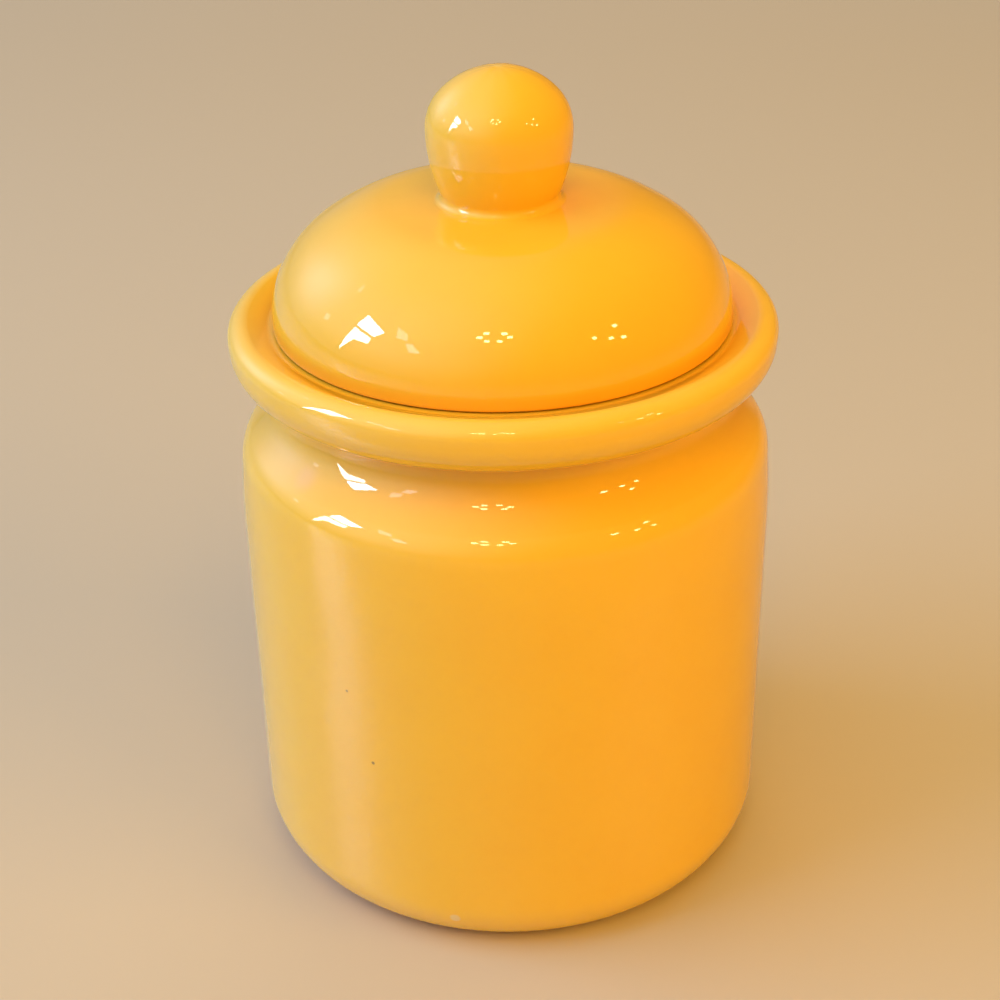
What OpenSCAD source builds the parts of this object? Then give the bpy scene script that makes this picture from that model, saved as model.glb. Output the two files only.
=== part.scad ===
// Treat canister: a round glazed stoneware jar with a loose domed lid.
// The lid lies in a gallery inside the jar's rolled rim, located by a collar in the mouth,
// and carries a hollow knob that is stuck to its crown.
// The jar stands on its foot ring at z = 0, and every piece is turned about the z axis.

/* [Jar] */
// Diameter of the straight wall
body_d = 140; // [126:1:160]
// Height at which the straight wall ends and begins to lean in
wall_h = 100; // [50:0.5:200]
// Thickness of the wall
wall = 4.7; // [3.5:0.1:7]
// Radius of the slow curve by which the wall leans in below the shoulder
lean_r = 180; // [80:5:400]
// Angle that the wall leans in by where the shoulder begins
lean_turn = 6; // [2:0.5:12]
// Radius of the shoulder
shoulder_r = 10.5; // [8:0.1:30]
// Radius of the hollow curve between the shoulder and the neck
neck_curve_r = 12.5; // [4:0.1:16]
// Height of the upright neck under the rim
neck_h = 3.2; // [3:0.1:15]

/* [Base] */
// Radius of the corner between the wall and the foot
base_corner_r = 15.5; // [8:0.1:20]
// Thickness of the floor
floor_t = 6; // [4:0.1:10]
// Radius of the corner between the wall and the floor, inside
floor_corner_r = 12; // [6:0.1:18]
// Width of the foot ring
foot_w = 7; // [4:0.1:12]
// Height of the foot ring above which the underside is hollowed
foot_h = 3; // [1.5:0.1:5]
// Radius on the inner edge of the foot ring
foot_edge_r = 1; // [0.4:0.1:1.4]

/* [Mouth and rim] */
// Diameter of the mouth
mouth_d = 104; // [90:1:112]
// Radius on the edge of the mouth
mouth_edge_r = 1.5; // [0.5:0.1:3]
// Width of the ledge round the mouth, on which the lid rests
ledge_w = 9.4; // [7.5:0.1:14]
// Width of the rolled rim outside the ledge
rim_w = 8.6; // [7:0.1:14]
// Height of the rim from its underside to its crest
rim_h = 14.3; // [13:0.1:20]
// Depth of the ledge below the crest
gallery_depth = 2.2; // [1:0.1:5]
// Height of the step at the outer edge of the ledge, from which the rim slopes up to its crest
step_h = 0.8; // [0.6:0.1:1.6]
// Radius on the edge of that step
step_edge_r = 0.5; // [0.2:0.1:0.6]
// Radius of the rim's rolled lower edge
rim_roll_r = 8.8; // [5:0.1:9]
// Radius of the crest
crest_r = 4; // [1.5:0.1:4]
// Radius of the hollow corner between the neck and the rim
rim_fillet_r = 2.5; // [1:0.1:3]

/* [Lid] */
// Clearance between the lid's edge and the step
lid_gap = 2.9; // [1:0.1:4]
// Height of the lid's edge below the dome
lid_edge_h = 1.4; // [1.2:0.1:10]
// Radius on the lower corner of the edge
lid_edge_r = 1.2; // [0.6:0.1:1.2]
// Thickness of the lid
lid_wall = 5; // [3.5:0.1:7]
// Radius of the dome's shoulder
dome_r = 27; // [18:0.1:34]
// Angle that the dome's shoulder turns through before the flatter crown
dome_turn = 57; // [40:1:70]
// Height of the collar under the lid
collar_h = 8; // [4:0.1:14]
// Thickness of the collar
collar_t = 4.6; // [3:0.1:6]
// Clearance between the collar and the mouth
collar_gap = 1.4; // [0.6:0.1:3]
// Radius of the hollow corner between the collar and the seat
collar_fillet_r = 0.5; // [0.2:0.1:0.6]
// Radius on the edge of the seat ring above the collar, inside the lid
haunch_edge_r = 1.5; // [0.5:0.1:1.5]
// Radius of the hollow corner between that ring and the underside of the dome
haunch_fillet_r = 1.5; // [0.5:0.1:1.5]
// Diameter of the hole through the crown that vents the hollow knob in the kiln
vent_d = 4; // [2:0.1:8]

/* [Knob] */
// Greatest diameter of the knob
knob_d = 36.2; // [30:0.1:44]
// Height of the knob's widest place above the crown of the lid
knob_rise = 16.4; // [10:0.1:24]
// Radius of the knob's side, below its widest place
knob_side_r = 42; // [28:0.1:90]
// Radius of the knob's shoulder, above its widest place
knob_shoulder_r = 12.5; // [8:0.1:16]
// Height of the knob's crown above the reach of that radius
knob_crown_h = 2.4; // [0.6:0.1:6]
// Thickness of the knob
knob_wall = 5; // [3:0.1:7]
// Radius of the hollow curve between the knob and the lid
knob_fillet_r = 2.5; // [1:0.1:5]

/* [Hidden] */
$fn = 180;

// Marigold glaze
glaze = [0.96, 0.68, 0.12];

// Greatest distance of a chord from the arc that it stands for
arc_error = 0.015;

// Jar, from the mouth outwards and from the wall upwards
body_r = body_d / 2;
mouth_r = mouth_d / 2;
neck_r = mouth_r + wall;
gallery_r = mouth_r + ledge_w;
rim_r = gallery_r + rim_w;
lean_c = [body_r - lean_r, wall_h];
shoulder_c = lean_c + (lean_r - shoulder_r) * heading(lean_turn);
curve_sum = shoulder_r + neck_curve_r;
shoulder_turn = acos((neck_r + neck_curve_r - shoulder_c[0]) / curve_sum);
neck_z = shoulder_c[1] + curve_sum * sin(shoulder_turn);
neck_curve_c = [neck_r + neck_curve_r, neck_z];
rim_z = neck_z + neck_h;
crest_z = rim_z + rim_h;
seat_z = crest_z - gallery_depth;
crest_c = [rim_r - crest_r, crest_z - crest_r];
step_c = [gallery_r + step_edge_r, seat_z + step_h - step_edge_r];
crest_slope = slope_over(step_c, step_edge_r, crest_c, crest_r);
foot_r = body_r - base_corner_r;
foot_inner_r = foot_r - foot_w;
foot_fillet_r = foot_h - foot_edge_r;
floor_z = foot_h + floor_t;

// Lid, from its seat upwards
lid_r = gallery_r - lid_gap;
collar_r = mouth_r - collar_gap;
collar_inner_r = collar_r - collar_t;
collar_end_r = collar_t / 2;
collar_z = seat_z - collar_h;
collar_top_z = seat_z - collar_fillet_r;
dome_z = seat_z + lid_edge_h;
dome_c = [lid_r - dome_r, dome_z];
dome_inner_r = dome_r - lid_wall;
haunch_z = seat_z + lid_wall;
haunch_edge_c = [collar_inner_r + haunch_edge_r, haunch_z - haunch_edge_r];
haunch_turn = asin((haunch_z + haunch_fillet_r - dome_z) / (dome_inner_r - haunch_fillet_r));
haunch_fillet_c = dome_c + (dome_inner_r - haunch_fillet_r) * heading(haunch_turn);

// Knob's side and the hollow curve under it, which touch where the knob is stuck on
knob_r = knob_d / 2;
knob_tilt = asin((knob_rise - knob_fillet_r) / (knob_side_r + knob_fillet_r));
knob_root_r = knob_r - knob_side_r + (knob_side_r + knob_fillet_r) * cos(knob_tilt);

// Crown of the lid, level with the foot of that curve
crown_r = dome_r + (lid_r - dome_r - knob_root_r) / cos(dome_turn);
crown_c = dome_c - (crown_r - dome_r) * heading(dome_turn);
crown_z = crown_c[1] + crown_r;

// Knob, from its joint upwards
knob_z = crown_z + knob_rise;
joint_z = knob_z - knob_side_r * sin(knob_tilt);
knob_inset = knob_r - knob_shoulder_r;
knob_half_h = knob_shoulder_r + knob_crown_h;
knob_top_r = (knob_half_h ^ 2 + knob_inset ^ 2 - knob_shoulder_r ^ 2) / (2 * knob_crown_h);
knob_top_c = [0, knob_z + knob_half_h - knob_top_r];
knob_top_turn = atan2(knob_top_r - knob_half_h, knob_inset);
knob_shoulder_c = [knob_inset, knob_z];
knob_side_c = [knob_r - knob_side_r, knob_z];

// Unit vector at an angle
function heading(angle) = [cos(angle), sin(angle)];

// Slope of the straight line that lies over two circles, from the left one to the right one
function slope_over(left, left_r, right, right_r) =
    let (reach = right - left)
    atan2(reach[1], reach[0]) + asin((right_r - left_r) / norm(reach));

// Points along an arc, close enough together to keep to arc_error
function arc(centre, radius, from, to) =
    let (step = 2 * acos(1 - arc_error / radius))
    let (count = ceil(abs(to - from) / step))
    [for (i = [0 : count]) centre + radius * heading(from + (to - from) * i / count)];

// Outside of the jar, from the middle of its underside to its crest
function jar_outside() = concat(
    [[0, foot_h]],
    arc([foot_inner_r - foot_fillet_r, foot_edge_r], foot_fillet_r, 90, 0),
    arc([foot_inner_r + foot_edge_r, foot_edge_r], foot_edge_r, 180, 270),
    arc([foot_r, base_corner_r], base_corner_r, -90, 0),
    arc(lean_c, lean_r, 0, lean_turn),
    arc(shoulder_c, shoulder_r, lean_turn, shoulder_turn),
    arc(neck_curve_c, neck_curve_r, 180 + shoulder_turn, 180),
    arc([neck_r + rim_fillet_r, rim_z - rim_fillet_r], rim_fillet_r, 180, 90),
    arc([rim_r - rim_roll_r, rim_z + rim_roll_r], rim_roll_r, -90, 0),
    arc(crest_c, crest_r, 0, 90 + crest_slope)
);

// Inside of the jar, from its crest to the middle of its floor
function jar_inside() = concat(
    arc(step_c, step_edge_r, 90 + crest_slope, 180),
    [[gallery_r, seat_z]],
    arc([mouth_r + mouth_edge_r, seat_z - mouth_edge_r], mouth_edge_r, 90, 180),
    arc(neck_curve_c, neck_curve_r + wall, 180, 180 + shoulder_turn),
    arc(shoulder_c, shoulder_r - wall, shoulder_turn, lean_turn),
    arc(lean_c, lean_r - wall, lean_turn, 0),
    arc([body_r - wall - floor_corner_r, floor_z + floor_corner_r], floor_corner_r, 0, -90),
    [[0, floor_z]]
);

// Top of the lid, from its vent to its seat
function lid_outside() = concat(
    [[vent_d / 2, joint_z]],
    arc([knob_root_r, crown_z + knob_fillet_r], knob_fillet_r, 180 - knob_tilt, 270),
    arc(crown_c, crown_r, 90, dome_turn),
    arc(dome_c, dome_r, dome_turn, 0),
    arc([lid_r - lid_edge_r, seat_z + lid_edge_r], lid_edge_r, 0, -90)
);

// Underside of the lid, from its seat over the root of the collar to its vent
function lid_inside() = concat(
    arc([collar_r + collar_fillet_r, collar_top_z], collar_fillet_r, 90, 180),
    [[collar_inner_r, collar_top_z]],
    arc(haunch_edge_c, haunch_edge_r, 180, 90),
    arc(haunch_fillet_c, haunch_fillet_r, -90, haunch_turn),
    arc(dome_c, dome_inner_r, haunch_turn, dome_turn),
    arc(crown_c, crown_r - lid_wall, dome_turn, 90),
    [[vent_d / 2, crown_z - lid_wall]]
);

// Half section of the collar, with its rounded lower end
function collar_section() = concat(
    [[collar_inner_r, collar_top_z], [collar_r, collar_top_z]],
    arc([collar_r - collar_end_r, collar_z + collar_end_r], collar_end_r, 0, -180)
);

// Upper half of the knob from its widest place to its top, at a depth below its surface
function knob_cap(depth) = concat(
    arc(knob_shoulder_c, knob_shoulder_r - depth, 0, knob_top_turn),
    arc(knob_top_c, knob_top_r - depth, knob_top_turn, 90)
);

// Side of the knob from its joint to its widest place, at a depth below its surface
function knob_side(depth) =
    let (radius = knob_side_r - depth)
    arc(knob_side_c, radius, -asin((knob_z - joint_z) / radius), 0);

// Half section of the knob's outside, or of its hollow, down to the joint
module knob_half(depth) {
    polygon(concat([[0, joint_z]], knob_side(depth), knob_cap(depth)));
}

module jar_body() {
    color(glaze)
        rotate_extrude()
            polygon(concat(jar_outside(), jar_inside()));
}

module lid() {
    color(glaze)
        rotate_extrude()
            polygon(concat(lid_outside(), lid_inside()));
}

module lid_collar() {
    color(glaze)
        rotate_extrude()
            polygon(collar_section());
}

module lid_knob() {
    color(glaze)
        rotate_extrude()
            difference() {
                knob_half(0);
                knob_half(knob_wall);
            }
}

jar_body();
lid();
lid_collar();
lid_knob();
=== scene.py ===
# Treat canister: the looks of the glazed jar, its lid and its knob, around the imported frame.
import math

import bpy
import numpy as np
from mathutils import Matrix, Vector


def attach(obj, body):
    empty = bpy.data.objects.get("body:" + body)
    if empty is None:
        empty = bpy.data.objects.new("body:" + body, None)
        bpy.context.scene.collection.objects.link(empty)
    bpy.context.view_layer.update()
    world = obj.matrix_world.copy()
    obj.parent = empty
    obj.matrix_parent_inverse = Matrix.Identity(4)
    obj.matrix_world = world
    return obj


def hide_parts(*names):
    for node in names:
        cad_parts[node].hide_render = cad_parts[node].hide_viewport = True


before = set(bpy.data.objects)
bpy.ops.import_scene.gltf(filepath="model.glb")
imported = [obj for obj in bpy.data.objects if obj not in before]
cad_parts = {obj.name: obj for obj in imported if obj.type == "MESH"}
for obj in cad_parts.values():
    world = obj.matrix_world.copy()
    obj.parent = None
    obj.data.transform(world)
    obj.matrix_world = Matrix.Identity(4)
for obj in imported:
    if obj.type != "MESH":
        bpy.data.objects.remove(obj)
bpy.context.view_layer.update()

# The sections are drawn in millimetres and degrees, and the meshes are in metres
MM = 0.001

# Jar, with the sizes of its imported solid
BODY_R = 70.0
WALL_H = 100.0
WALL = 4.7
LEAN_R = 180.0
LEAN_TURN = 6.0
SHOULDER_R = 10.5
NECK_CURVE_R = 12.5
NECK_H = 3.2
BASE_CORNER_R = 15.5
FLOOR_T = 6.0
FLOOR_CORNER_R = 12.0
FOOT_W = 7.0
FOOT_H = 3.0
FOOT_EDGE_R = 1.0
MOUTH_R = 52.0
MOUTH_EDGE_R = 1.5
LEDGE_W = 9.4
RIM_W = 8.6
RIM_H = 14.3
GALLERY_DEPTH = 2.2
STEP_H = 0.8
STEP_EDGE_R = 0.5
RIM_ROLL_R = 8.8
CREST_R = 4.0
RIM_FILLET_R = 2.5

# Soft cove of glaze over the solid's small step at the outside of the gallery
COVE_R = 3.0

# Outside of the neck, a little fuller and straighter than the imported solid
SLOPE_TURN = 47.0
NECK_FULLER = 1.2

# Lid
LID_GAP = 2.9
LID_EDGE_H = 1.4
LID_EDGE_R = 1.2
LID_WALL = 5.0
DOME_R = 27.0
DOME_TURN = 57.0
COLLAR_H = 8.0
COLLAR_T = 4.6
COLLAR_GAP = 1.4
COLLAR_FILLET_R = 0.5
HAUNCH_EDGE_R = 1.5
HAUNCH_FILLET_R = 1.5
VENT_R = 2.0

# Knob
KNOB_R = 18.1
KNOB_RISE = 16.4
KNOB_SIDE_R = 42.0
KNOB_SHOULDER_R = 12.5
KNOB_CROWN_H = 2.4
KNOB_WALL = 5.0
KNOB_FILLET_R = 2.5

# Crown of the lid and crease of the knob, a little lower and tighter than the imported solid
CROWN_BREAK = 66.0
CROWN_BEND_R = 27.0
CROWN_FLAT = 88.0
CREASE_R = 1.7

# Fineness of the turned meshes
SEGMENTS = 240
ARC_TURN = 5.0
ARC_GAP = 1.6
LINE_GAP = 3.0
SAME_POINT = 1e-4
ON_AXIS = 1e-6
SHARP_TURN = 32.0

# Glaze on edges and in corners: bends in radians per millimetre, and how far along the section they count
BEND_REACH = 0.5
THIN_BEND = 0.7
THIN_REACH = 0.8
POOL_BEND = 0.5
POOL_REACH = 1.2

# Waves of the uneven surface: share, number in a round, start, and shift per millimetre of height
RIPPLES = (
    (0.40, 2, 0.7, 0.0),
    (0.22, 3, -1.1, 0.021),
    (0.16, 7, 2.2, -0.043),
    (0.12, 13, 0.4, 0.11),
    (0.10, 4, 0.0, 0.17),
)

# Depth of the waves
JAR_RIPPLE = 0.16
LID_RIPPLE = 0.12
KNOB_RIPPLE = 0.10

# Spans over which the waves and the finishes begin or end, each measured from the edge that it goes with
GROUND = 0
JAR_RIPPLE_LOW = (2, 14)
JAR_RIPPLE_HIGH = (140, 150)
LID_RIPPLE_LOW = (156, 164)
LID_RIPPLE_HIGH = (182, 183.5)
KNOB_RIPPLE_UP = (1, 8)
FOOT_BARE_UP = (0.1, 1.1)
FOOT_BARE_OUT = (-1.5, 0.5)
# Spans of the painted shade on the ledge where the lid rests: its height, the dark painted line by the
# lid's edge, and the faint painted shade across the ledge
LEDGE_LOW = (-1.2, -0.3)
LEDGE_HIGH = (0.1, 0.9)
SEAT_SHADE_IN = (-2.4, -1.0)
SEAT_SHADE_OUT = (0.1, 0.9)
LEDGE_SHADE_IN = (1, 4)
LEDGE_SHADE_OUT = (1.6, 3.6)
LEDGE_SHADE_SHARE = 0.08
COLLAR_BARE_INSET = 1
LID_BARE_UP = (-0.05, 0.1)
LID_BARE_OUT = (-3.6, -2.4)
# Spans of the painted shade at the lid's lower edge, where it meets the ledge
LID_SHADE_OUT = (-2.0, -1.0)
LID_SHADE_UP = (0.2, 0.8)
LID_THIN_UP = (0, 0.5)
KNOB_THIN_UP = (1, 5)


def heading(angle):
    """Unit vector at an angle in degrees."""
    return np.array([math.cos(math.radians(angle)), math.sin(math.radians(angle))])


def arc(centre, radius, start, end):
    """Points along an arc between two angles in degrees."""
    turn = abs(end - start)
    count = math.ceil(max(turn / ARC_TURN, radius * math.radians(turn) / ARC_GAP, 1))
    return [np.array(centre) + radius * heading(a) for a in np.linspace(start, end, count + 1)]


def outline(*runs):
    """Joins runs of points, leaves out doubles and divides long straight stretches."""
    points = []
    for point in (np.array(p, float) for run in runs for p in run):
        if points:
            reach = np.linalg.norm(point - points[-1])
            if reach < SAME_POINT:
                continue
            count = math.ceil(reach / LINE_GAP)
            points += [points[-1] + (point - points[-1]) * i / count for i in range(1, count)]
        points.append(point)
    return np.array(points)


# Radii (_r), heights (_z), angles and centres of arcs (_c) that follow from the sizes above.
# Jar, with the slope between its shoulder and neck
neck_r = MOUTH_R + WALL
gallery_r = MOUTH_R + LEDGE_W
rim_r = gallery_r + RIM_W
lean_c = np.array([BODY_R - LEAN_R, WALL_H])
shoulder_c = lean_c + (LEAN_R - SHOULDER_R) * heading(LEAN_TURN)
curve_sum = SHOULDER_R + NECK_CURVE_R
shoulder_turn = math.degrees(math.acos((neck_r + NECK_CURVE_R - shoulder_c[0]) / curve_sum))
neck_z = shoulder_c[1] + curve_sum * heading(shoulder_turn)[1]
rim_z = neck_z + NECK_H
crest_z = rim_z + RIM_H
seat_z = crest_z - GALLERY_DEPTH
neck_curve_c = np.array([neck_r + NECK_CURVE_R, neck_z])
slope_foot = shoulder_c + SHOULDER_R * heading(SLOPE_TURN)
slope_out, slope_rise = heading(SLOPE_TURN)
full_neck_r = neck_r + NECK_FULLER
slope_reach = (slope_foot[0] - full_neck_r - NECK_CURVE_R * (1 - slope_out)) / slope_rise
full_neck_z = slope_foot[1] + slope_reach * slope_out + NECK_CURVE_R * slope_rise
foot_r = BODY_R - BASE_CORNER_R
foot_inner_r = foot_r - FOOT_W
foot_fillet_r = FOOT_H - FOOT_EDGE_R
floor_z = FOOT_H + FLOOR_T

# Crest of the rim, which falls in a straight line to the cove
crest_c = np.array([rim_r - CREST_R, crest_z - CREST_R])
step_c = np.array([gallery_r + STEP_EDGE_R, seat_z + STEP_H - STEP_EDGE_R])
step_reach = crest_c - step_c
step_turn = math.atan2(step_reach[1], step_reach[0])
crest_slope = math.degrees(step_turn + math.asin((CREST_R - STEP_EDGE_R) / np.linalg.norm(step_reach)))
crest_end = crest_c + CREST_R * heading(90 + crest_slope)
crest_in, crest_down = heading(crest_slope)
cove_z = seat_z + COVE_R
cove_rise = cove_z - crest_end[1]
cove_c = np.array([crest_end[0] - (COVE_R - cove_rise * crest_in) / crest_down, cove_z])

# Lid and collar
lid_r = gallery_r - LID_GAP
collar_r = MOUTH_R - COLLAR_GAP
collar_inner_r = collar_r - COLLAR_T
collar_z = seat_z - COLLAR_H
dome_z = seat_z + LID_EDGE_H
dome_c = np.array([lid_r - DOME_R, dome_z])
dome_inner_r = DOME_R - LID_WALL
haunch_z = seat_z + LID_WALL
haunch_reach = dome_inner_r - HAUNCH_FILLET_R
haunch_turn = math.degrees(math.asin((haunch_z + HAUNCH_FILLET_R - dome_z) / haunch_reach))

# Crown of the lid and height of the knob
knob_tilt = math.degrees(math.asin((KNOB_RISE - KNOB_FILLET_R) / (KNOB_SIDE_R + KNOB_FILLET_R)))
knob_root_r = KNOB_R - KNOB_SIDE_R + (KNOB_SIDE_R + KNOB_FILLET_R) * heading(knob_tilt)[0]
crown_r = DOME_R + (lid_r - DOME_R - knob_root_r) / heading(DOME_TURN)[0]
crown_c = dome_c - (crown_r - DOME_R) * heading(DOME_TURN)
crown_z = crown_c[1] + crown_r
knob_z = crown_z + KNOB_RISE

# Crease where the flat of the crown turns up into the side of the knob
bend_c = crown_c + (crown_r - CROWN_BEND_R) * heading(CROWN_BREAK)
flat_start = bend_c + CROWN_BEND_R * heading(CROWN_FLAT)
flat_in = heading(CROWN_FLAT + 90)
side_c = np.array([KNOB_R - KNOB_SIDE_R, knob_z])
crease_start = flat_start + CREASE_R * heading(CROWN_FLAT) - side_c
crease_along = crease_start @ flat_in
crease_gap = crease_start @ crease_start - (KNOB_SIDE_R + CREASE_R) ** 2
crease_back = crease_along + math.sqrt(crease_along ** 2 - crease_gap)
crease_c = side_c + crease_start - crease_back * flat_in
crease_tilt = math.degrees(math.atan2(knob_z - crease_c[1], crease_c[0] - side_c[0]))
foot_z = knob_z - KNOB_SIDE_R * heading(crease_tilt)[1]

# Shoulder and top of the knob
knob_inset = KNOB_R - KNOB_SHOULDER_R
knob_half_h = KNOB_SHOULDER_R + KNOB_CROWN_H
knob_top_r = (knob_half_h ** 2 + knob_inset ** 2 - KNOB_SHOULDER_R ** 2) / (2 * KNOB_CROWN_H)
knob_top_turn = math.degrees(math.atan2(knob_top_r - knob_half_h, knob_inset))


def jar_outline():
    """Half section of the jar, from the middle of its underside over the rim to the middle of its floor."""
    return outline(
        [(0, FOOT_H)],
        arc((foot_inner_r - foot_fillet_r, FOOT_EDGE_R), foot_fillet_r, 90, 0),
        arc((foot_inner_r + FOOT_EDGE_R, FOOT_EDGE_R), FOOT_EDGE_R, 180, 270),
        arc((foot_r, BASE_CORNER_R), BASE_CORNER_R, -90, 0),
        arc(lean_c, LEAN_R, 0, LEAN_TURN),
        arc(shoulder_c, SHOULDER_R, LEAN_TURN, SLOPE_TURN),
        arc((full_neck_r + NECK_CURVE_R, full_neck_z), NECK_CURVE_R, 180 + SLOPE_TURN, 180),
        arc((full_neck_r + RIM_FILLET_R, rim_z - RIM_FILLET_R), RIM_FILLET_R, 180, 90),
        arc((rim_r - RIM_ROLL_R, rim_z + RIM_ROLL_R), RIM_ROLL_R, -90, 0),
        arc(crest_c, CREST_R, 0, 90 + crest_slope),
        arc(cove_c, COVE_R, crest_slope - 90, -90),
        arc((MOUTH_R + MOUTH_EDGE_R, seat_z - MOUTH_EDGE_R), MOUTH_EDGE_R, 90, 180),
        arc(neck_curve_c, NECK_CURVE_R + WALL, 180, 180 + shoulder_turn),
        arc(shoulder_c, SHOULDER_R - WALL, shoulder_turn, LEAN_TURN),
        arc(lean_c, LEAN_R - WALL, LEAN_TURN, 0),
        arc((BODY_R - WALL - FLOOR_CORNER_R, floor_z + FLOOR_CORNER_R), FLOOR_CORNER_R, 0, -90),
        [(0, floor_z)],
    )


def lid_outline():
    """Half section of the lid, from its vent over the dome, round the collar and back inside."""
    return outline(
        [(VENT_R, foot_z)],
        arc(crease_c, CREASE_R, 180 - crease_tilt, 180 + CROWN_FLAT),
        arc(bend_c, CROWN_BEND_R, CROWN_FLAT, CROWN_BREAK),
        arc(crown_c, crown_r, CROWN_BREAK, DOME_TURN),
        arc(dome_c, DOME_R, DOME_TURN, 0),
        arc((lid_r - LID_EDGE_R, seat_z + LID_EDGE_R), LID_EDGE_R, 0, -90),
        arc((collar_r + COLLAR_FILLET_R, seat_z - COLLAR_FILLET_R), COLLAR_FILLET_R, 90, 180),
        arc((collar_r - COLLAR_T / 2, collar_z + COLLAR_T / 2), COLLAR_T / 2, 0, -180),
        arc((collar_inner_r + HAUNCH_EDGE_R, haunch_z - HAUNCH_EDGE_R), HAUNCH_EDGE_R, 180, 90),
        arc(dome_c + haunch_reach * heading(haunch_turn), HAUNCH_FILLET_R, -90, haunch_turn),
        arc(dome_c, dome_inner_r, haunch_turn, DOME_TURN),
        arc(crown_c, crown_r - LID_WALL, DOME_TURN, 90),
        [(VENT_R, crown_z - LID_WALL)],
    )


def knob_skin(depth):
    """Half section of the knob at a depth below its surface, from its joint to its top."""
    side_r = KNOB_SIDE_R - depth
    start = -math.degrees(math.asin((knob_z - foot_z) / side_r))
    return [
        *arc(side_c, side_r, start, 0),
        *arc((knob_inset, knob_z), KNOB_SHOULDER_R - depth, 0, knob_top_turn),
        *arc((0, knob_z + knob_half_h - knob_top_r), knob_top_r - depth, knob_top_turn, 90),
    ]


def knob_outline():
    """Half section of the hollow knob, from its joint over its top and back inside."""
    return outline(knob_skin(0), reversed(knob_skin(KNOB_WALL)))


def spread(values, lengths, reach):
    """Values along an outline, each the mean of its neighbours within a reach in millimetres."""
    near = np.exp(-((lengths[:, None] - lengths[None, :]) / reach) ** 2)
    return near @ values / near.sum(1)


def glaze_depths(points, closed):
    """How far the glaze draws off convex edges and runs into hollow corners, each from 0 to 1."""
    before = np.roll(points, 1, 0)
    after = np.roll(points, -1, 0)
    if not closed:
        # The outline starts and ends on the axis, and goes straight on past it
        before[0] = points[0] - (1, 0)
        after[-1] = points[-1] - (1, 0)
    come = points - before
    go = after - points
    turn = np.arctan2(come[:, 0] * go[:, 1] - come[:, 1] * go[:, 0], (come * go).sum(1))
    run = (np.linalg.norm(come, axis=1) + np.linalg.norm(go, axis=1)) / 2
    lengths = np.cumsum(run)
    bend = spread(turn / run, lengths, BEND_REACH)
    thin = np.clip(bend / THIN_BEND, 0, 1)
    pool = np.clip(-bend / POOL_BEND, 0, 1)
    return spread(thin, lengths, THIN_REACH), spread(pool, lengths, POOL_REACH)


def ripple(angle, height):
    """Small unevenness of a hand-finished surface, from -1 to 1."""
    return sum(
        share * np.sin(number * angle + start + shift * height) for share, number, start, shift in RIPPLES
    )


def turned(name, points, closed, uneven, open_edges, bare, painted_shade):
    """Turns an outline into a mesh, with glaze depths, bare places and painted shade kept on its points."""
    angles = np.linspace(0, 2 * np.pi, SEGMENTS, endpoint=False)
    thin, pool = glaze_depths(points, closed)
    finish = np.stack([thin * open_edges, pool, bare, painted_shade], 1)
    along = np.gradient(points, axis=0)
    along /= np.linalg.norm(along, axis=1)[:, None]
    outward = np.stack([along[:, 1], -along[:, 0]], 1)
    places, rings, marks = [], [], []
    for i, (r, z) in enumerate(points):
        if r < ON_AXIS:
            rings.append([len(places)])
            places.append((0, 0, z))
            marks.append(finish[i])
            continue
        push = uneven[i] * ripple(angles, z)
        ring_r = r + push * outward[i, 0]
        ring_z = z + push * outward[i, 1]
        rings.append(range(len(places), len(places) + SEGMENTS))
        places += list(zip(ring_r * np.cos(angles), ring_r * np.sin(angles), ring_z))
        marks += [finish[i]] * SEGMENTS
    faces = []
    spans = list(zip(rings, rings[1:]))
    if closed:
        spans.append((rings[-1], rings[0]))
    for low, high in spans:
        for k in range(SEGMENTS):
            n = (k + 1) % SEGMENTS
            corners = [low[k % len(low)], low[n % len(low)], high[n % len(high)], high[k % len(high)]]
            faces.append(list(dict.fromkeys(corners)))
    mesh = bpy.data.meshes.new(name)
    mesh.from_pydata([Vector(p) * MM for p in places], [], faces)
    for label, column in zip(("glaze_thin", "glaze_pool", "bare", "painted_shade"), np.array(marks, np.float32).T):
        mesh.attributes.new(label, "FLOAT", "POINT").data.foreach_set("value", np.ascontiguousarray(column))
    mesh.shade_smooth()
    mesh.set_sharp_from_angle(angle=math.radians(SHARP_TURN))
    mesh.update()
    mesh.validate()
    piece = bpy.data.objects.new(name, mesh)
    bpy.context.scene.collection.objects.link(piece)
    return piece


def between(value, low, high):
    """Soft step from 0 at low to 1 at high."""
    t = np.clip((value - low) / (high - low), 0, 1)
    return t * t * (3 - 2 * t)


def fade_in(value, edge, span):
    """Soft step from 0 to 1 over a span measured from an edge."""
    return between(value, edge + span[0], edge + span[1])


def fade_out(value, edge, span):
    """Soft step from 1 to 0 over a span measured from an edge."""
    return 1 - fade_in(value, edge, span)


def ahead_of_peak(values):
    """1 along an outline up to its largest value, and 0 from there on."""
    return (np.arange(len(values)) < np.argmax(values)).astype(float)


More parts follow.
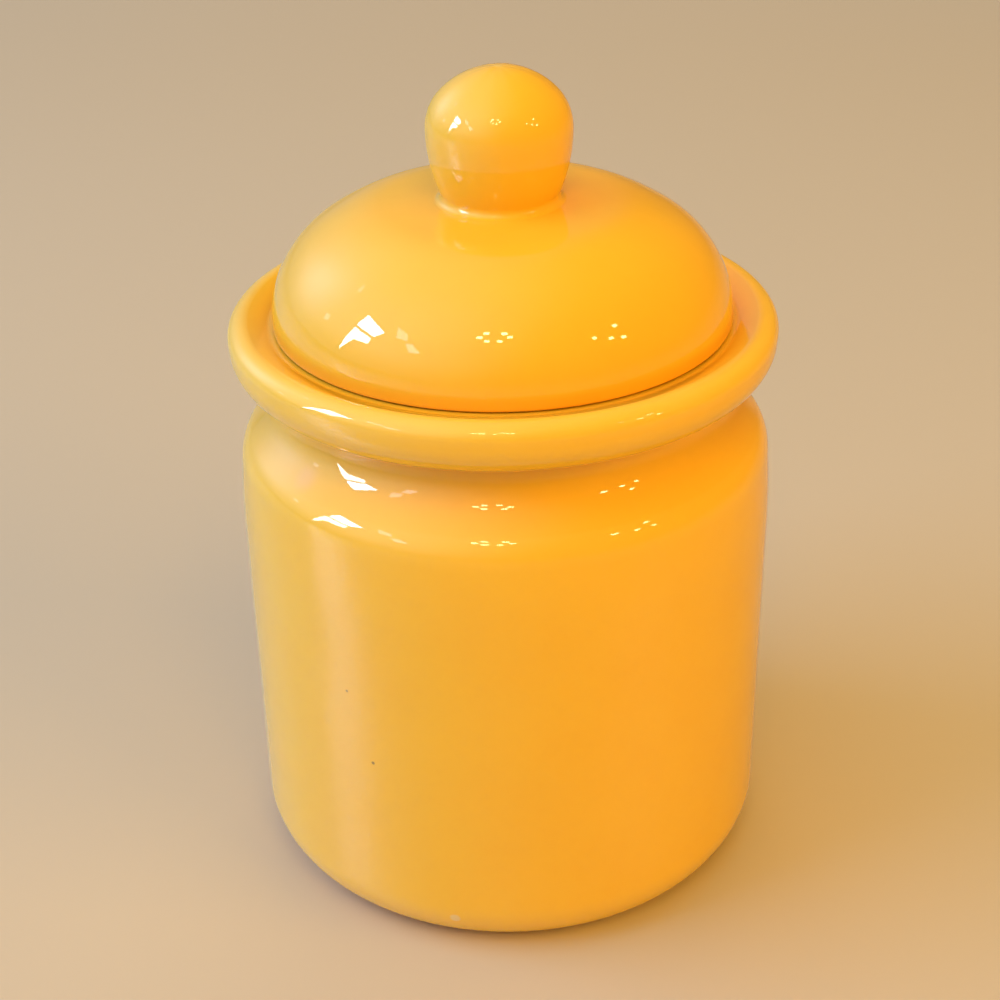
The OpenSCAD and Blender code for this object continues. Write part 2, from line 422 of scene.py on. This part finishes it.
# Jar, bare under its foot, with painted shade on the ledge where the lid rests: a dark painted line by the
# lid's edge and a faint painted shade across the ledge
jar_points = jar_outline()
jar_r, jar_h = jar_points.T
jar_uneven = JAR_RIPPLE * ahead_of_peak(jar_h) * fade_in(jar_h, GROUND, JAR_RIPPLE_LOW)
jar_uneven *= fade_out(jar_h, GROUND, JAR_RIPPLE_HIGH)
jar_open = np.ones(len(jar_points))
jar_bare = fade_out(jar_h, GROUND, FOOT_BARE_UP) * fade_in(jar_r, foot_inner_r, FOOT_BARE_OUT)
on_ledge = fade_in(jar_h, seat_z, LEDGE_LOW) * fade_out(jar_h, seat_z, LEDGE_HIGH)
seat_shade_line = fade_in(jar_r, lid_r, SEAT_SHADE_IN) * fade_out(jar_r, lid_r, SEAT_SHADE_OUT)
ledge_shade = fade_in(jar_r, MOUTH_R, LEDGE_SHADE_IN) * fade_out(jar_r, lid_r, LEDGE_SHADE_OUT)
jar_painted_shade = on_ledge * np.maximum(seat_shade_line, LEDGE_SHADE_SHARE * ledge_shade)
jar = turned("canister_jar", jar_points, False, jar_uneven, jar_open, jar_bare, jar_painted_shade)

# Lid, bare on its seat and collar, with painted shade at its lower edge where it meets the ledge
lid_points = lid_outline()
lid_out, lid_h = lid_points.T
lid_uneven = LID_RIPPLE * ahead_of_peak(lid_out) * fade_in(lid_h, GROUND, LID_RIPPLE_LOW)
lid_uneven *= fade_out(lid_h, GROUND, LID_RIPPLE_HIGH)
lid_open = fade_out(lid_h, flat_start[1], LID_THIN_UP)
lid_bare = between(lid_out, collar_inner_r, collar_r - COLLAR_BARE_INSET)
lid_bare *= fade_out(lid_h, seat_z, LID_BARE_UP)
lid_bare *= fade_out(lid_out, lid_r, LID_BARE_OUT)
lid_painted_shade = fade_in(lid_out, lid_r, LID_SHADE_OUT) * fade_out(lid_h, seat_z, LID_SHADE_UP)
lid = turned("canister_lid", lid_points, True, lid_uneven, lid_open, lid_bare, lid_painted_shade)

# Knob, glazed all over
knob_points = knob_outline()
knob_h = knob_points[:, 1]
knob_uneven = KNOB_RIPPLE * ahead_of_peak(knob_h) * fade_in(knob_h, foot_z, KNOB_RIPPLE_UP)
knob_open = fade_in(knob_h, foot_z, KNOB_THIN_UP)
knob_clean = np.zeros(len(knob_points))
knob = turned("canister_knob", knob_points, True, knob_uneven, knob_open, knob_clean, knob_clean)


def linear(value):
    """Light of one screen value of 0 to 255, by the standard curve of screens."""
    v = value / 255
    return v / 12.92 if v <= 0.04045 else ((v + 0.055) / 1.055) ** 2.4


def srgb(red, green, blue):
    """Colour from screen values of 0 to 255."""
    return (linear(red), linear(green), linear(blue), 1.0)


class Nodes:
    """Places nodes in one tree and joins them."""

    def __init__(self, tree):
        self.tree = tree

    def feed(self, socket, value):
        """Joins a socket to another, or sets its value."""
        if isinstance(value, bpy.types.NodeSocket):
            self.tree.links.new(value, socket)
        else:
            socket.default_value = value

    def add(self, kind, inputs=(), **settings):
        """Adds a node with its settings and inputs."""
        node = self.tree.nodes.new(kind)
        for key, value in settings.items():
            setattr(node, key, value)
        for key, value in dict(inputs).items():
            self.feed(node.inputs[key], value)
        return node

    def math(self, operation, first, second=0.0, clamp=False):
        """Result of one sum on two values."""
        node = self.add("ShaderNodeMath", {0: first, 1: second}, operation=operation, use_clamp=clamp)
        return node.outputs[0]

    def ramp(self, value, low, high, to_low=0.0, to_high=1.0):
        """Soft step from to_low where the value is low to to_high where it is high."""
        node = self.add(
            "ShaderNodeMapRange",
            {"Value": value, "From Min": low, "From Max": high, "To Min": to_low, "To Max": to_high},
            interpolation_type="SMOOTHSTEP",
        )
        return node.outputs["Result"]

    def mix(self, share, first, second):
        """Colour between two others."""
        node = self.add("ShaderNodeMix", {0: share, 6: first, 7: second}, data_type="RGBA")
        return node.outputs[2]

    def blend(self, share, first, second):
        """Shader between two others."""
        shaders = {0: share, 1: first.outputs[0], 2: second.outputs[0]}
        return self.add("ShaderNodeMixShader", shaders)

    def noise(self, place, scale, detail=2.0, roughness=0.5):
        """Cloudy value of about 0 to 1, with its middle near one half."""
        node = self.add(
            "ShaderNodeTexNoise",
            {"Vector": place, "Scale": scale, "Detail": detail, "Roughness": roughness},
        )
        return node.outputs["Fac"]

    def vector(self, operation, *inputs):
        """Single value that is worked out from vectors."""
        node = self.add("ShaderNodeVectorMath", enumerate(inputs), operation=operation)
        return node.outputs["Value"]

    def attribute(self, name):
        """Value that is kept on the points of the mesh."""
        return self.add("ShaderNodeAttribute", attribute_name=name).outputs["Fac"]


FLOAT, COLOUR, VECTOR = "NodeSocketFloat", "NodeSocketColor", "NodeSocketVector"

# Amounts within the effects
NOISE_MIDDLE = 0.5
GRAIN_SHARE = 0.4
SPECK_CORE = 0.5
RAGGED_EDGE = 0.5


def effect(name, inputs, outputs):
    """Starts a shader node group with named inputs and outputs."""
    tree = bpy.data.node_groups.new(name, "ShaderNodeTree")
    for label, kind in inputs:
        tree.interface.new_socket(name=label, in_out="INPUT", socket_type=kind)
    for label, kind in outputs:
        tree.interface.new_socket(name=label, in_out="OUTPUT", socket_type=kind)
    nodes = Nodes(tree)
    source = nodes.add("NodeGroupInput").outputs
    sink = nodes.add("NodeGroupOutput").inputs
    return nodes, source, sink


def glaze_colour_effect():
    """Colour of the glaze where it lies thin, even or pooled, with a faint mottle."""
    nodes, source, sink = effect(
        "glaze_colour",
        [("Place", VECTOR), ("Thin", FLOAT), ("Pool", FLOAT), ("Glaze", COLOUR), ("Thin Glaze", COLOUR),
         ("Pooled Glaze", COLOUR), ("Mottle", FLOAT)],
        [("Colour", COLOUR)],
    )
    cloud = nodes.noise(source["Place"], scale=32.0, detail=3.0, roughness=0.55)
    grain = nodes.noise(source["Place"], scale=260.0, detail=2.0, roughness=0.6)
    drift = nodes.math("MULTIPLY", nodes.ramp(cloud, low=0.35, high=0.70), source["Mottle"])
    grain_mottle = nodes.math("MULTIPLY", source["Mottle"], GRAIN_SHARE)
    streak = nodes.math("MULTIPLY", nodes.ramp(grain, low=0.45, high=0.75), grain_mottle)
    thin_share = nodes.ramp(cloud, low=0.25, high=0.75, to_low=0.55, to_high=1.0)
    pool_share = nodes.ramp(cloud, low=0.25, high=0.75, to_low=1.0, to_high=0.6)
    thin = nodes.math("MULTIPLY", source["Thin"], thin_share)
    pool = nodes.math("MULTIPLY", source["Pool"], pool_share)
    mottled = nodes.math("ADD", drift, streak, clamp=True)
    colour = nodes.mix(mottled, source["Glaze"], source["Pooled Glaze"])
    colour = nodes.mix(pool, colour, source["Pooled Glaze"])
    colour = nodes.mix(thin, colour, source["Thin Glaze"])
    nodes.feed(sink["Colour"], colour)
    return nodes.tree


def glaze_surface_effect():
    """Height of the fired surface: slow ripples and a fine peel."""
    nodes, source, sink = effect(
        "glaze_surface",
        [("Place", VECTOR), ("Ripple", FLOAT), ("Peel", FLOAT)],
        [("Height", FLOAT)],
    )
    waves = nodes.noise(source["Place"], scale=55.0, detail=1.0, roughness=0.4)
    skin = nodes.noise(source["Place"], scale=420.0, detail=1.0, roughness=0.4)
    slow = nodes.math("MULTIPLY", waves, source["Ripple"])
    fine = nodes.math("MULTIPLY", skin, source["Peel"])
    nodes.feed(sink["Height"], nodes.math("ADD", slow, fine))
    return nodes.tree


def kiln_specks_effect():
    """Mask of the few dark specks that come up through a glaze."""
    nodes, source, sink = effect(
        "kiln_specks",
        [("Place", VECTOR), ("Cells", FLOAT), ("Share", FLOAT), ("Size", FLOAT)],
        [("Mask", FLOAT)],
    )
    cells = nodes.add("ShaderNodeTexVoronoi", {"Vector": source["Place"], "Scale": source["Cells"]})
    chance = nodes.add("ShaderNodeSeparateColor", {"Color": cells.outputs["Color"]}).outputs["Red"]
    chosen = nodes.math("LESS_THAN", chance, source["Share"])
    core = nodes.math("MULTIPLY", source["Size"], SPECK_CORE)
    blot = nodes.ramp(cells.outputs["Distance"], low=source["Size"], high=core)
    nodes.feed(sink["Mask"], nodes.math("MULTIPLY", blot, chosen))
    return nodes.tree


def bare_clay_effect():
    """Unglazed clay: its colour, the height of its grain, and a mask with a ragged edge to the glaze."""
    nodes, source, sink = effect(
        "bare_clay",
        [("Place", VECTOR), ("Bare", FLOAT), ("Clay", COLOUR), ("Stain", COLOUR)],
        [("Mask", FLOAT), ("Colour", COLOUR), ("Height", FLOAT)],
    )
    tear = nodes.noise(source["Place"], scale=140.0, detail=3.0, roughness=0.6)
    ragged = nodes.math("SUBTRACT", tear, NOISE_MIDDLE)
    edge = nodes.math("ADD", source["Bare"], nodes.math("MULTIPLY", ragged, RAGGED_EDGE))
    mask = nodes.ramp(edge, low=0.46, high=0.56)
    grain = nodes.noise(source["Place"], scale=900.0, detail=3.0, roughness=0.7)
    blotch = nodes.noise(source["Place"], scale=70.0, detail=3.0, roughness=0.6)
    colour = nodes.mix(nodes.ramp(blotch, low=0.4, high=0.75), source["Clay"], source["Stain"])
    colour = nodes.mix(nodes.ramp(grain, low=0.5, high=0.8, to_high=0.45), colour, source["Stain"])
    nodes.feed(sink["Mask"], mask)
    nodes.feed(sink["Colour"], colour)
    nodes.feed(sink["Height"], nodes.math("MULTIPLY", grain, mask))
    return nodes.tree


def handling_effect():
    """Roughness of a glaze that hands have dulled a little in places."""
    nodes, source, sink = effect(
        "handling",
        [("Place", VECTOR), ("Polished", FLOAT), ("Dulled", FLOAT)],
        [("Roughness", FLOAT)],
    )
    smear = nodes.noise(source["Place"], scale=46.0, detail=4.0, roughness=0.62)
    share = nodes.ramp(smear, low=0.48, high=0.78)
    gain = nodes.math("SUBTRACT", source["Dulled"], source["Polished"])
    dulled = nodes.math("MULTIPLY", share, gain)
    nodes.feed(sink["Roughness"], nodes.math("ADD", source["Polished"], dulled))
    return nodes.tree


def soft_mark_effect():
    """Mask of one soft-edged mark around a place on the surface."""
    nodes, source, sink = effect(
        "soft_mark",
        [("Place", VECTOR), ("Centre", VECTOR), ("Inner", FLOAT), ("Outer", FLOAT)],
        [("Mask", FLOAT)],
    )
    away = nodes.vector("DISTANCE", source["Place"], source["Centre"])
    blur = nodes.noise(source["Place"], scale=300.0, detail=2.0, roughness=0.5)
    wander = nodes.math("SUBTRACT", blur, NOISE_MIDDLE)
    away = nodes.math("ADD", away, nodes.math("MULTIPLY", wander, source["Inner"]))
    nodes.feed(sink["Mask"], nodes.ramp(away, low=source["Outer"], high=source["Inner"]))
    return nodes.tree


glaze_colour = glaze_colour_effect()
glaze_surface = glaze_surface_effect()
kiln_specks = kiln_specks_effect()
bare_clay = bare_clay_effect()
handling = handling_effect()
soft_mark = soft_mark_effect()

MARIGOLD = srgb(246, 186, 44)
THIN_MARIGOLD = srgb(250, 206, 92)
POOLED_MARIGOLD = srgb(240, 164, 28)
# Painted shade of the crevice where the lid rests on the ledge
PAINTED_SEAT_SHADE = srgb(84, 20, 0)
CLAY = srgb(226, 205, 176)
CLAY_STAIN = srgb(196, 166, 130)
SPECK = srgb(70, 44, 24)
PALE_SPOT = srgb(236, 208, 160)
PINK_STAIN = srgb(240, 178, 104)

# Surface of the glaze, and what bare clay adds to its roughness and takes from its height
GLAZE_IOR = 1.52
SPECK_STRENGTH = 0.8
CLAY_ROUGHNESS = 0.8
CLAY_SUNK = 1.2
CLAY_GRAIN = 0.5


def glazed(name, mottle, specks, marks=()):
    """Marigold glaze over clay, with its own mottle, specks and single marks, and painted shade where the
    lid meets the ledge.
    """
    material = bpy.data.materials.new(name)
    material.use_nodes = True
    nodes = Nodes(material.node_tree)
    shader = material.node_tree.nodes["Principled BSDF"]
    place = nodes.add("ShaderNodeTexCoord").outputs["Object"]

    def use(tree, **inputs):
        """Adds one effect and gives its outputs."""
        group = nodes.add("ShaderNodeGroup", node_tree=tree)
        for key, value in inputs.items():
            nodes.feed(group.inputs[key.replace("_", " ")], value)
        return group.outputs

    colour = use(
        glaze_colour,
        Place=place,
        Thin=nodes.attribute("glaze_thin"),
        Pool=nodes.attribute("glaze_pool"),
        Glaze=MARIGOLD,
        Thin_Glaze=THIN_MARIGOLD,
        Pooled_Glaze=POOLED_MARIGOLD,
        Mottle=mottle,
    )["Colour"]
    # Painted shade where the lid meets the ledge, made patchy
    patches = nodes.noise(place, scale=90.0, detail=3.0)
    patchy = nodes.ramp(patches, low=0.25, high=0.65, to_low=0.8)
    painted_shade_share = nodes.math("MULTIPLY", nodes.attribute("painted_shade"), patchy)
    colour = nodes.mix(painted_shade_share, colour, PAINTED_SEAT_SHADE)
    for tint, strength, centre, inner, outer in marks:
        spot = use(soft_mark, Place=place, Centre=centre, Inner=inner, Outer=outer)["Mask"]
        colour = nodes.mix(nodes.math("MULTIPLY", spot, strength), colour, tint)
    dots = use(kiln_specks, Place=place, Cells=48.0, Share=specks, Size=0.018)["Mask"]
    colour = nodes.mix(nodes.math("MULTIPLY", dots, SPECK_STRENGTH), colour, SPECK)
    clay = use(bare_clay, Place=place, Bare=nodes.attribute("bare"), Clay=CLAY, Stain=CLAY_STAIN)
    gloss = use(handling, Place=place, Polished=0.022, Dulled=0.048)["Roughness"]
    relief = use(glaze_surface, Place=place, Ripple=1.0, Peel=0.06)["Height"]
    rough = nodes.math("ADD", gloss, nodes.math("MULTIPLY", clay["Mask"], CLAY_ROUGHNESS), clamp=True)
    height = nodes.math("SUBTRACT", relief, nodes.math("MULTIPLY", clay["Mask"], CLAY_SUNK))
    height = nodes.math("ADD", height, nodes.math("MULTIPLY", clay["Height"], CLAY_GRAIN))
    bump = nodes.add("ShaderNodeBump", {"Strength": 0.6, "Distance": 0.0002, "Height": height})
    nodes.feed(shader.inputs["Base Color"], nodes.mix(clay["Mask"], colour, clay["Colour"]))
    nodes.feed(shader.inputs["Roughness"], rough)
    nodes.feed(shader.inputs["Normal"], bump.outputs["Normal"])
    nodes.feed(shader.inputs["IOR"], GLAZE_IOR)
    return material


# Single marks of the jar: colour, strength, place, and the radii of the mark's core and edge, in metres
JAR_MARKS = (
    (SPECK, 0.75, (-0.0347, -0.0608, 0.0573), 0.0002, 0.0006),
    (SPECK, 0.60, (-0.0404, -0.0572, 0.0770), 0.0002, 0.0005),
    (PINK_STAIN, 0.45, (-0.0480, -0.0398, 0.1276), 0.0010, 0.0050),
    (PALE_SPOT, 0.60, (-0.0153, -0.0679, 0.0119), 0.0009, 0.0017),
)
jar.data.materials.append(glazed("jar_glaze", mottle=0.12, specks=0.02, marks=JAR_MARKS))
lid.data.materials.append(glazed("lid_glaze", mottle=0.10, specks=0.015))
knob.data.materials.append(glazed("knob_glaze", mottle=0.08, specks=0.0))

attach(jar, "jar")
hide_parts("jar_body")
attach(lid, "lid")
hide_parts("lid", "lid_collar")
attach(knob, "lid")
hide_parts("lid_knob")

# Floor: matte to the camera, with a sheen for all other light, and far off the same as the backdrop
FLOOR_COLOUR = srgb(200, 180, 153)
BACKDROP = (0.62, 0.57, 0.50, 1.0)
FLOOR_REACH = 6.0
FLOOR_CORNERS = ((-1, -1, 0), (1, -1, 0), (1, 1, 0), (-1, 1, 0))
FLOOR_ROUGHNESS = 0.42
FLOOR_IOR = 2.5
FLOOR_NEAR = 0.7
FLOOR_FAR = 2.6
floor_mesh = bpy.data.meshes.new("floor")
floor_mesh.from_pydata([Vector(corner) * FLOOR_REACH for corner in FLOOR_CORNERS], [], [(0, 1, 2, 3)])
floor = bpy.data.objects.new("floor", floor_mesh)
bpy.context.scene.collection.objects.link(floor)
floor_material = bpy.data.materials.new("pale_floor")
floor_material.use_nodes = True
floor_nodes = Nodes(floor_material.node_tree)
floor_shader = floor_material.node_tree.nodes["Principled BSDF"]
floor_nodes.feed(floor_shader.inputs["Base Color"], FLOOR_COLOUR)
floor_nodes.feed(floor_shader.inputs["Roughness"], FLOOR_ROUGHNESS)
floor_nodes.feed(floor_shader.inputs["IOR"], FLOOR_IOR)
floor_away = floor_nodes.vector("LENGTH", floor_nodes.add("ShaderNodeTexCoord").outputs["Object"])
floor_path = floor_nodes.add("ShaderNodeLightPath").outputs
looked_at = floor_nodes.math("MAXIMUM", floor_path["Is Camera Ray"], floor_path["Is Transmission Ray"])
far_share = floor_nodes.math("MULTIPLY", floor_nodes.ramp(floor_away, FLOOR_NEAR, FLOOR_FAR), looked_at)
far_floor = floor_nodes.add("ShaderNodeEmission", {"Color": BACKDROP})
matte_floor = floor_nodes.add("ShaderNodeBsdfDiffuse", {"Color": FLOOR_COLOUR})
near_floor = floor_nodes.blend(looked_at, floor_shader, matte_floor)
whole_floor = floor_nodes.blend(far_share, near_floor, far_floor)
floor_output = floor_material.node_tree.nodes["Material Output"]
floor_nodes.feed(floor_output.inputs["Surface"], whole_floor.outputs[0])
floor_mesh.materials.append(floor_material)

# Camera at the photograph's angle, with its angles in radians and its place in metres
PITCH = 0.50925
YAW = -0.003793
ROLL = -0.020485
FOCAL_PX = 1807.825
IMAGE_PX = 1000.0
SENSOR_W = 36.0
CAMERA_PLACE = (0, -0.42635, 0.33662)
ahead = Vector((math.sin(YAW) * math.cos(PITCH), math.cos(YAW) * math.cos(PITCH), -math.sin(PITCH)))
level = ahead.cross(Vector((0, 0, 1))).normalized()
upright = level.cross(ahead)
camera_right = math.cos(ROLL) * level + math.sin(ROLL) * upright
camera_up = -math.sin(ROLL) * level + math.cos(ROLL) * upright
lens = bpy.data.cameras.new("camera")
lens.sensor_width = SENSOR_W
lens.lens = SENSOR_W * FOCAL_PX / IMAGE_PX
camera = bpy.data.objects.new("camera", lens)
bpy.context.scene.collection.objects.link(camera)
camera_turn = Matrix((camera_right, camera_up, -ahead)).transposed().to_4x4()
camera.matrix_world = Matrix.Translation(CAMERA_PLACE) @ camera_turn
bpy.context.scene.camera = camera

# Lights, placed by their direction from the middle of the canister
AIM = Vector((0, 0, 0.15))
PANE_AWAY = 1.9


def towards(azimuth, elevation):
    """Unit vector at an azimuth from the camera's side, to the right, and an elevation, in degrees."""
    a = math.radians(azimuth)
    e = math.radians(elevation)
    return Vector((math.sin(a) * math.cos(e), -math.cos(a) * math.cos(e), math.sin(e)))


def lamp(name, azimuth, elevation, distance, width, height, power, colour, mirrored):
    """Rectangular lamp that faces the canister and shows in its reflections alone, or in none of them."""
    light = bpy.data.lights.new(name, "AREA")
    light.shape = "RECTANGLE"
    light.size = width
    light.size_y = height
    light.energy = power
    light.color = colour
    body = bpy.data.objects.new(name, light)
    bpy.context.scene.collection.objects.link(body)
    back = towards(azimuth, elevation)
    body.location = AIM + back * distance
    body.rotation_euler = back.to_track_quat("Z", "Y").to_euler()
    body.visible_diffuse = not mirrored
    body.visible_glossy = mirrored
    body.visible_camera = False


def panel(name, strength, colour, *corners):
    """Glowing panel that shows in reflections alone, its corners given by azimuth and elevation."""
    mesh = bpy.data.meshes.new(name)
    mesh.from_pydata([AIM + towards(*corner) * PANE_AWAY for corner in corners], [], [range(len(corners))])
    material = bpy.data.materials.new(name)
    material.use_nodes = True
    nodes = Nodes(material.node_tree)
    light = nodes.add("ShaderNodeEmission", {"Color": (*colour, 1.0), "Strength": strength})
    nodes.feed(material.node_tree.nodes["Material Output"].inputs["Surface"], light.outputs[0])
    mesh.materials.append(material)
    sheet = bpy.data.objects.new(name, mesh)
    bpy.context.scene.collection.objects.link(sheet)
    sheet.visible_camera = False
    sheet.visible_diffuse = False
    sheet.visible_shadow = False


COOL = (0.58, 1.03, 1.90)
NEUTRAL = (1.0, 1.0, 0.90)
WARM = (1.12, 0.70, 0.10)
BACK_TINT = (1.12, 0.86, 0.55)
SKY = (0.75, 0.95, 1.2)
PALE = (0.95, 1.0, 1.05)
GLOW = (1.0, 0.9, 0.42)

# Soft lamps: azimuth, elevation, distance, width, height, power and colour
SOFT_LAMPS = {
    "left_soft": (-82, 36, 1.7, 1.4, 1.2, 15.5, COOL),
    "back_soft": (178, 38, 1.7, 1.2, 1.0, 5.5, BACK_TINT),
    "top_soft": (0, 80, 1.6, 1.4, 1.4, 5.5, NEUTRAL),
    "front_soft": (6, 48, 1.6, 0.8, 0.6, 8.5, WARM),
    "right_soft": (58, 26, 1.6, 1.0, 0.6, 10.5, WARM),
}
for name, values in SOFT_LAMPS.items():
    lamp(name, *values, mirrored=False)

# Bright panes on the left: strength, colour, and the azimuth and elevation of each corner
PANES = {
    "upper_pane": (29.0, SKY, (-82.3, 36.3), (-65.0, 30.1), (-69.0, 23.7), (-81.4, 25.7)),
    "lower_pane": (
        26.0, PALE, (-81.7, 23.7), (-69.4, 21.7), (-69.5, 16.8), (-78.3, 14.6), (-83.6, 2.6), (-82.5, 13.4),
    ),
    "side_pane": (5.5, PALE, (-62.0, 39.0), (-53.5, 36.0), (-50.5, 30.0), (-57.5, 30.0)),
    "far_pane": (6.0, PALE, (-51.0, 27.6), (-46.5, 29.0), (-40.5, 22.2), (-46.5, 20.6)),
    "low_spot": (4.5, PALE, (-101.0, 18.4), (-98.0, 19.4), (-96.5, 16.0), (-99.5, 14.0)),
    "high_spot": (4.0, PALE, (-115.0, 45.0), (-112.0, 45.0), (-105.5, 42.5), (-108.5, 41.0)),
}
for name, values in PANES.items():
    panel(name, *values)

# Small lamps in front and on the right, by azimuth and elevation, all of one distance, size and power
FRONT_LAMPS = ((-14.8, 44.3), (-11.3, 48.5), (-10.1, 41.2), (-3.0, 41.0), (-0.4, 48.5), (3.0, 44.8))
RIGHT_LAMPS = ((48.3, 31.4), (64.4, 34.8), (56.4, 26.6), (63.8, 23.1))
SMALL_LAMP = (1.6, 0.065, 0.065, 0.42)
for i, (azimuth, elevation) in enumerate(FRONT_LAMPS + RIGHT_LAMPS):
    lamp(f"small_lamp_{i}", azimuth, elevation, *SMALL_LAMP, GLOW, mirrored=True)

# Surroundings: a plain soft light, and in reflections a pale left side and a dim right side
FILL_LEFT = (0.33, 0.39, 0.45, 1.0)
FILL_RIGHT = (0.33, 0.26, 0.09, 1.0)
MIRRORED_DIM = (0.13, 0.10, 0.07, 1.0)
MIRRORED_BACK = (0.34, 0.38, 0.44, 1.0)
MIRRORED_LEFT = (1.9, 2.1, 2.2, 1.0)
MIRRORED_BRIGHT = (2.7, 3.0, 3.6, 1.0)
world = bpy.data.worlds.new("surroundings")
bpy.context.scene.world = world
world.use_nodes = True
sky = Nodes(world.node_tree)
direction = sky.add("ShaderNodeTexCoord").outputs["Generated"]
along = sky.add("ShaderNodeSeparateXYZ", {0: direction}).outputs


def soft_glow(azimuth, elevation, falloff):
    """Share of a soft glow around one direction, from 0 to 1."""
    facing = sky.vector("DOT_PRODUCT", direction, towards(azimuth, elevation))
    return sky.math("POWER", sky.math("MAXIMUM", facing, 0.0), falloff)


soft_fill = world.node_tree.nodes["Background"]
to_right = sky.ramp(along["X"], low=-0.45, high=0.25)
sky.feed(soft_fill.inputs["Color"], sky.mix(to_right, FILL_LEFT, FILL_RIGHT))
to_left = sky.ramp(along["X"], low=0.3, high=-0.3)
back_left = sky.math("MULTIPLY", sky.ramp(along["Y"], low=-0.2, high=0.6), to_left)
upward = sky.ramp(along["Z"], low=0.0, high=0.30, to_low=0.6)
left_glow = sky.math("MULTIPLY", soft_glow(azimuth=-80, elevation=31, falloff=2.0), upward)
bright_glow = soft_glow(azimuth=-121, elevation=26, falloff=26.0)
mirrored_colour = sky.mix(back_left, MIRRORED_DIM, MIRRORED_BACK)
mirrored_colour = sky.mix(left_glow, mirrored_colour, MIRRORED_LEFT)
mirrored_colour = sky.mix(bright_glow, mirrored_colour, MIRRORED_BRIGHT)
mirrored_sky = sky.add("ShaderNodeBackground", {"Color": mirrored_colour})
backdrop = sky.add("ShaderNodeBackground", {"Color": BACKDROP})
sky_path = sky.add("ShaderNodeLightPath").outputs
shown = sky.math("MAXIMUM", sky_path["Is Camera Ray"], sky_path["Is Transmission Ray"])
lit = sky.blend(sky_path["Is Glossy Ray"], soft_fill, mirrored_sky)
whole_sky = sky.blend(shown, lit, backdrop)
sky.feed(world.node_tree.nodes["World Output"].inputs["Surface"], whole_sky.outputs[0])

bpy.context.scene.view_settings.view_transform = "Standard"
